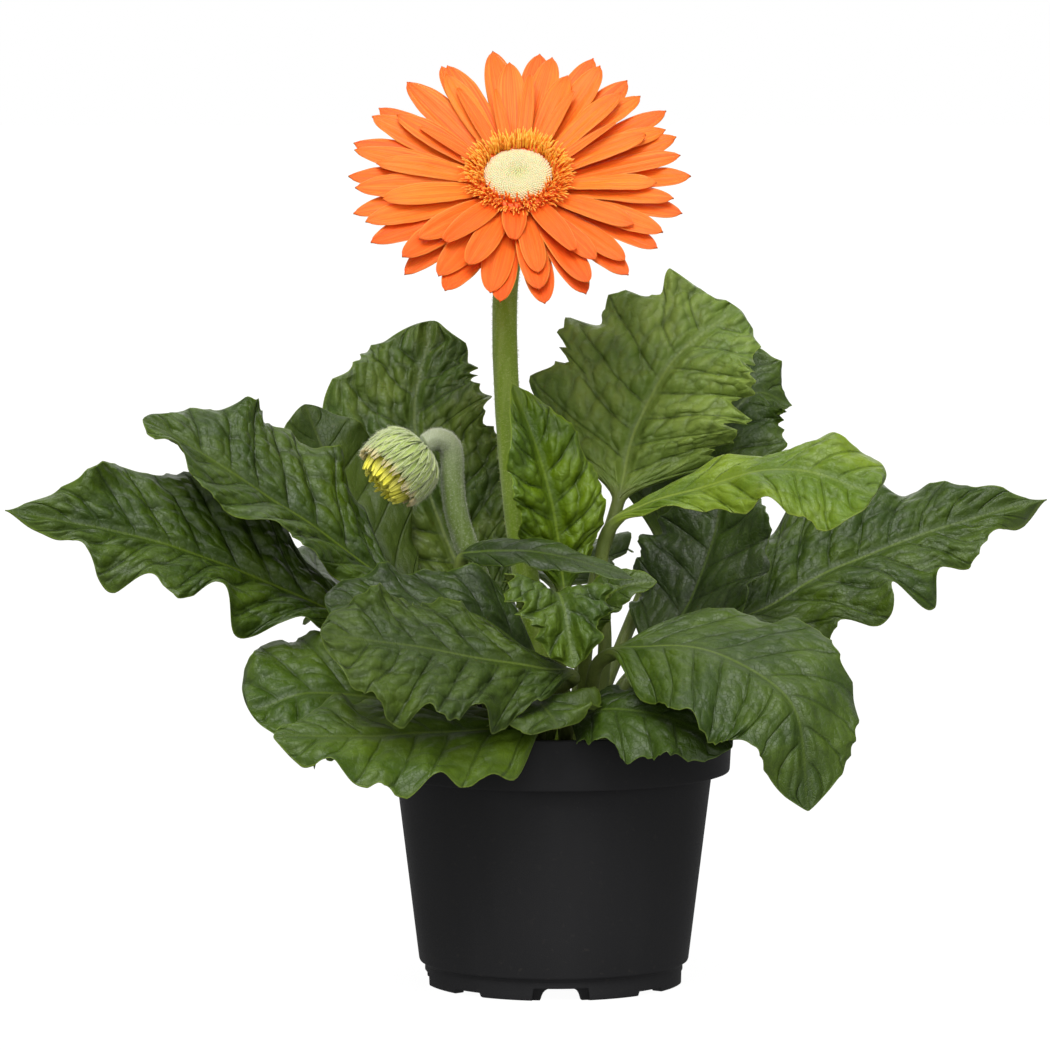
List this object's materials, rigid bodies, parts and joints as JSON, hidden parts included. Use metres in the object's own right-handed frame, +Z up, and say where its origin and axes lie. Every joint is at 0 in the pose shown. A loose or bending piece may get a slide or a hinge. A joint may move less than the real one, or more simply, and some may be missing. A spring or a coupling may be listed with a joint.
{
  "type": "potted gerbera",
  "caption": "Flowering gerbera: open daisy bloom on a bare stem, nodding bud and rosette of lobed leaves, rooted in soil in a tapered round grower's pot.",
  "frame": {"origin": "middle of the plant's bounding box, on the surface that the pot stands on", "axes": "+Z up along the pot's axis, -Y towards the side that the bloom looks to, +X to that side's right, along the widest spread of the leaves"},
  "size_m": [0.3496, 0.2478, 0.3137],
  "materials": {
    "pot_plastic": "satin",
    "potting_soil": "matte",
    "leaf_green": "satin",
    "young_leaf": "satin",
    "stem_green": "matte",
    "bract_green": "matte",
    "orange_petal": "satin",
    "fringe": "satin",
    "disc": "matte",
    "bud_green": "matte",
    "bud_yellow": "matte"
  },
  "bodies": {
    "root": {"bud_florets": "bud_yellow", "bud_involucre": "bud_green", "bud_scape": "stem_green", "disc_florets": "disc", "fringe_florets": "fringe", "involucre": "bract_green", "leaf_back_left_high": "leaf_green", "leaf_back_left_low": "leaf_green", "leaf_back_right_far": "leaf_green", "leaf_back_right_high": "leaf_green", "leaf_behind_left": "leaf_green", "leaf_behind_middle": "leaf_green", "leaf_behind_right": "leaf_green", "leaf_centre_flat": "leaf_green", "leaf_far_left": "leaf_green", "leaf_front_bottom": "leaf_green", "leaf_front_centre": "leaf_green", "leaf_front_left": "leaf_green", "leaf_front_left_dark": "leaf_green", "leaf_left_behind": "leaf_green", "leaf_left_bottom": "leaf_green", "leaf_left_lower": "leaf_green", "leaf_right_behind": "leaf_green", "leaf_right_front": "leaf_green", "leaf_right_inner": "leaf_green", "leaf_right_low": "leaf_green", "leaf_right_mid": "young_leaf", "leaf_right_under": "leaf_green", "leaf_small_bright": "young_leaf", "leaf_upper_left": "leaf_green", "leaf_young_curl": "young_leaf", "leaf_young_right": "young_leaf", "pot": "pot_plastic", "ray_florets": "orange_petal", "scape": "stem_green", "soil": "potting_soil"}
  },
  "joints": []
}
